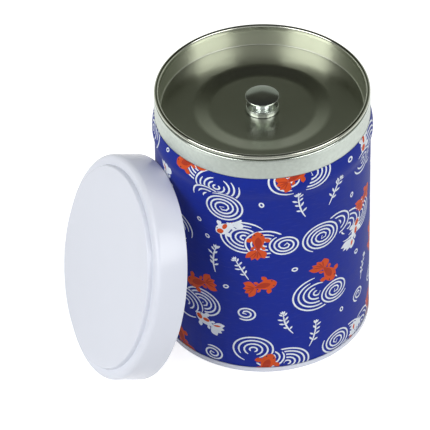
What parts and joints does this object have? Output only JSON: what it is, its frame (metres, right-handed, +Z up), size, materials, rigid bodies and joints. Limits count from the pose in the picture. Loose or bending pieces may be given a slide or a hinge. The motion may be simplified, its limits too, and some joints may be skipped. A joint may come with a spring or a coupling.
{
  "type": "cookie tin",
  "caption": "Round paper-covered canister with a knobbed inner lid in its mouth and a stepped outer lid leaning on its wall.",
  "frame": {"origin": "middle of the whole set's footprint, on the surface that it stands on", "axes": "+Z up along the tin's axis; +X from the leaning outer lid towards the tin; +Y completes the right-handed frame"},
  "size_m": [0.1216, 0.0932, 0.1076],
  "materials": {
    "satin_tinplate": "satin",
    "printed_paper": "matt printed paper with visible fibres",
    "white_enamel": "semi-gloss",
    "bright_tinplate": "bright satin",
    "polished_chrome": "polished",
    "zinc_plate": "plated"
  },
  "bodies": {
    "tin": {"body_shell": "satin_tinplate", "paper_wrap": "printed_paper", "bottom_end": "white_enamel"},
    "inner_lid": {"inner_lid_pan": "bright_tinplate", "knob": "polished_chrome", "rivet_washer": "zinc_plate", "knob_rivet": "zinc_plate"},
    "outer_lid": {"outer_lid": "white_enamel"}
  },
  "joints": [
    {"name": "inner_lid_lift", "type": "slide", "parent": "tin", "child": "inner_lid", "axis": [0, 0, 1], "range_m": [0, 0.05]},
    {"name": "outer_lid_pick_up", "type": "slide", "parent": "tin", "child": "outer_lid", "axis": [-0.7071, 0, 0.7071], "range_m": [0, 0.12]}
  ]
}
